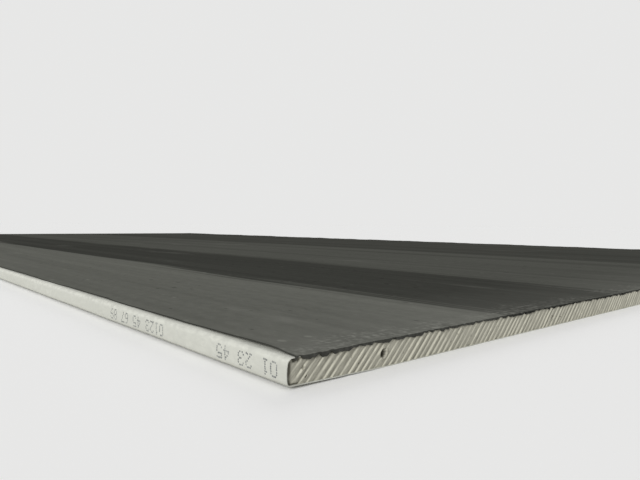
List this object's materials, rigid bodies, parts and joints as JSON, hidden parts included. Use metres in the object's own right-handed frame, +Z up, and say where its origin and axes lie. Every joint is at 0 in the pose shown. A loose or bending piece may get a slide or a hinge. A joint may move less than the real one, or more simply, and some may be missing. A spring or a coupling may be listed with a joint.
{
  "type": "drywall sheet",
  "caption": "Flat gypsum wallboard sheet for lining walls and ceilings, papered on both faces, with tapered paper-wrapped long edges and square-cut bare ends.",
  "frame": {"origin": "centre of the sheet's underside, on the flat of the face between the two tapers", "axes": "+X along the length, +Y across the width, +Z up through the thickness, from the face to the back"},
  "size_m": [2.4, 1.2, 0.0125],
  "materials": {
    "gypsum": "matt, sawn",
    "face_paper": "matt, smooth",
    "back_paper": "matt, fibrous"
  },
  "bodies": {
    "root": {"gypsum_core": "gypsum", "face_paper": "face_paper", "back_paper": "back_paper"}
  },
  "joints": []
}
